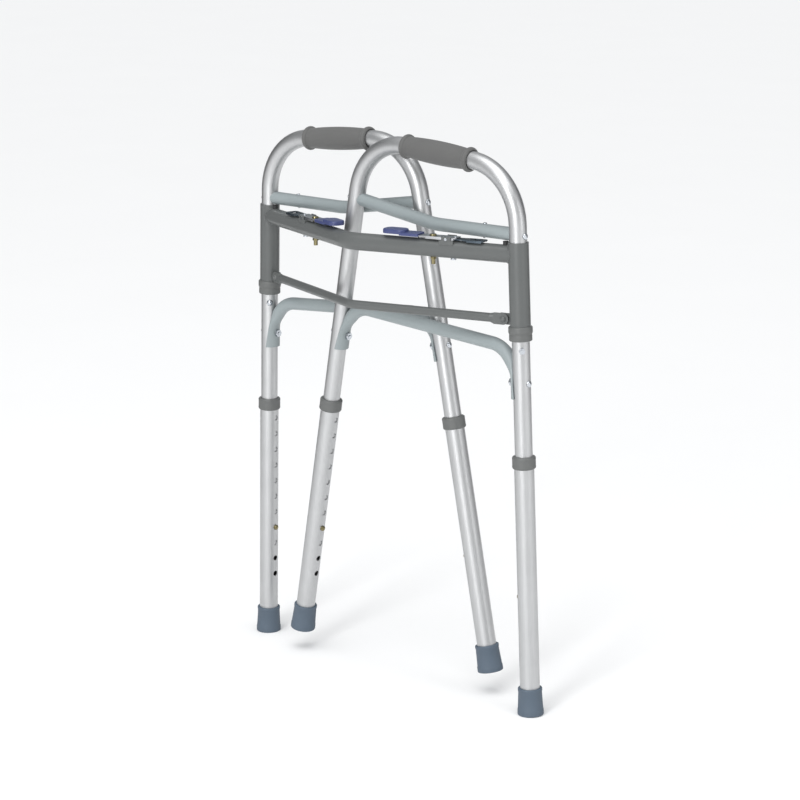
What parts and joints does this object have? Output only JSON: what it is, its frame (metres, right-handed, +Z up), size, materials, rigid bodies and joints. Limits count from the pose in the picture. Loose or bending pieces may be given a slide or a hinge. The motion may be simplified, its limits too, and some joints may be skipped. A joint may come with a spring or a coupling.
{
  "type": "folding walking frame",
  "caption": "Folding walking frame with two hinged side frames, a V-bent front bar with release paddles, moulded grips, height-adjustable legs and rubber tips.",
  "frame": {"origin": "on the floor, under the middle of the whole folded frame", "axes": "+Z up, +X along the front bar to the right-hand hinge leg as seen from the front, +Y towards the user, away from the front bar's bend"},
  "size_m": [0.598, 0.1356, 0.8199],
  "materials": {
    "satin_aluminium": "bright satin anodised",
    "dark_powder_coat": "dark grey powder coat",
    "blue_grey_paint": "light blue-grey powder coat",
    "grey_grip": "soft moulded vinyl",
    "grey_collar": "moulded nylon",
    "blue_grey_rubber": "moulded rubber",
    "zinc_steel": "zinc plated",
    "latch_steel": "pressed steel",
    "hook_steel": "dark blue-black plated steel",
    "blue_plastic": "indigo blue moulded plastic",
    "brass": "brass plated",
    "spring_steel": "spring steel",
    "black_rubber": "black rubber"
  },
  "bodies": {
    "front_brace": {"front_bar_upper": "dark_powder_coat", "front_bar_lower": "dark_powder_coat", "front_bar_screws": "dark_powder_coat", "bar_bumpers": "black_rubber", "latch_pins": "zinc_steel", "latch_bolts": "brass", "latch_rivets": "zinc_steel", "hinge_sleeve_left": "dark_powder_coat", "sleeve_collar_left": "grey_collar", "sleeve_bush_left": "grey_collar", "latch_bracket_left": "latch_steel", "latch_spring_left": "spring_steel", "hinge_sleeve_right": "dark_powder_coat", "sleeve_collar_right": "grey_collar", "sleeve_bush_right": "grey_collar", "latch_bracket_right": "latch_steel", "latch_spring_right": "spring_steel"},
    "left_frame": {"side_tube_left": "satin_aluminium", "side_brace_upper_left": "blue_grey_paint", "side_brace_lower_left": "blue_grey_paint", "brace_rivet_left": "zinc_steel", "hand_grip_left": "grey_grip", "brace_bolts_left": "zinc_steel", "brace_plugs_left": "grey_collar", "stop_bolt_left": "zinc_steel", "button_springs_left": "spring_steel"},
    "front_left_leg": {"leg_extension_front_left": "satin_aluminium", "leg_collar_front_left": "grey_collar", "rubber_tip_front_left": "blue_grey_rubber"},
    "front_left_button": {"snap_button_front_left": "brass"},
    "rear_left_leg": {"leg_extension_rear_left": "satin_aluminium", "leg_collar_rear_left": "grey_collar", "rubber_tip_rear_left": "blue_grey_rubber"},
    "rear_left_button": {"snap_button_rear_left": "brass"},
    "left_lever": {"latch_lever_left": "latch_steel", "latch_hook_left": "hook_steel", "hook_rivet_left": "zinc_steel", "release_paddle_left": "blue_plastic"},
    "right_frame": {"side_tube_right": "satin_aluminium", "side_brace_upper_right": "blue_grey_paint", "side_brace_lower_right": "blue_grey_paint", "brace_rivet_right": "zinc_steel", "hand_grip_right": "grey_grip", "brace_bolts_right": "zinc_steel", "brace_plugs_right": "grey_collar", "stop_bolt_right": "zinc_steel", "button_springs_right": "spring_steel"},
    "front_right_leg": {"leg_extension_front_right": "satin_aluminium", "leg_collar_front_right": "grey_collar", "rubber_tip_front_right": "blue_grey_rubber"},
    "front_right_button": {"snap_button_front_right": "brass"},
    "rear_right_leg": {"leg_extension_rear_right": "satin_aluminium", "leg_collar_rear_right": "grey_collar", "rubber_tip_rear_right": "blue_grey_rubber"},
    "rear_right_button": {"snap_button_rear_right": "brass"},
    "right_lever": {"latch_lever_right": "latch_steel", "latch_hook_right": "hook_steel", "hook_rivet_right": "zinc_steel", "release_paddle_right": "blue_plastic"}
  },
  "joints": [
    {"name": "left_fold", "type": "hinge", "parent": "front_brace", "child": "left_frame", "pos_m": [-0.2575, 0.02064, 0.61959], "axis": [0.0363, 0, 0.9993], "range_deg": [0, 86.45]},
    {"name": "front_left_height", "type": "slide", "parent": "left_frame", "child": "front_left_leg", "axis": [-0.0363, 0, -0.9993], "range_m": [-0.0762, 0.1778]},
    {"name": "front_left_button_press", "type": "slide", "parent": "left_frame", "child": "front_left_button", "axis": [-0.9974, -0.0619, 0.0362], "range_m": [0, 0.006], "stiffness_N_per_m": 1500, "springref_m": -0.004, "deforming": ["snap_button_front_left", "button_springs_left"]},
    {"name": "rear_left_height", "type": "slide", "parent": "left_frame", "child": "rear_left_leg", "axis": [0.1804, 0.0134, -0.9835], "range_m": [-0.0762, 0.1778]},
    {"name": "rear_left_button_press", "type": "slide", "parent": "left_frame", "child": "rear_left_button", "axis": [0.9816, 0.0605, 0.1809], "range_m": [0, 0.006], "stiffness_N_per_m": 1500, "springref_m": -0.004, "deforming": ["snap_button_rear_left"]},
    {"name": "left_release", "type": "hinge", "parent": "front_brace", "child": "left_lever", "pos_m": [-0.13041, -0.01758, 0.684], "axis": [0.2918, 0.9565, 0], "range_deg": [0, 2.2], "stiffness_Nm_per_rad": 10, "springref_deg": -5.73, "deforming": ["latch_spring_left"]},
    {"name": "right_fold", "type": "hinge", "parent": "front_brace", "child": "right_frame", "pos_m": [0.2575, 0.02064, 0.61959], "axis": [0.0363, 0, -0.9993], "range_deg": [0, 92.86]},
    {"name": "front_right_height", "type": "slide", "parent": "right_frame", "child": "front_right_leg", "axis": [0.0363, 0, -0.9993], "range_m": [-0.0762, 0.1778]},
    {"name": "front_right_button_press", "type": "slide", "parent": "right_frame", "child": "front_right_button", "axis": [0.9981, 0.0499, 0.0363], "range_m": [0, 0.006], "stiffness_N_per_m": 1500, "springref_m": -0.004, "deforming": ["snap_button_front_right", "button_springs_right"]},
    {"name": "rear_right_height", "type": "slide", "parent": "right_frame", "child": "rear_right_leg", "axis": [-0.1806, -0.0108, -0.9835], "range_m": [-0.0762, 0.1778]},
    {"name": "rear_right_button_press", "type": "slide", "parent": "right_frame", "child": "rear_right_button", "axis": [-0.9823, -0.0487, 0.1809], "range_m": [0, 0.006], "stiffness_N_per_m": 1500, "springref_m": -0.004, "deforming": ["snap_button_rear_right"]},
    {"name": "right_release", "type": "hinge", "parent": "front_brace", "child": "right_lever", "pos_m": [0.15241, -0.01087, 0.684], "axis": [0.2918, -0.9565, 0], "range_deg": [0, 2.2], "stiffness_Nm_per_rad": 10, "springref_deg": -5.73, "deforming": ["latch_spring_right"]}
  ],
  "couplings": [
    {"joint": "right_fold", "follows": "left_fold", "ratio": 0.57}
  ]
}
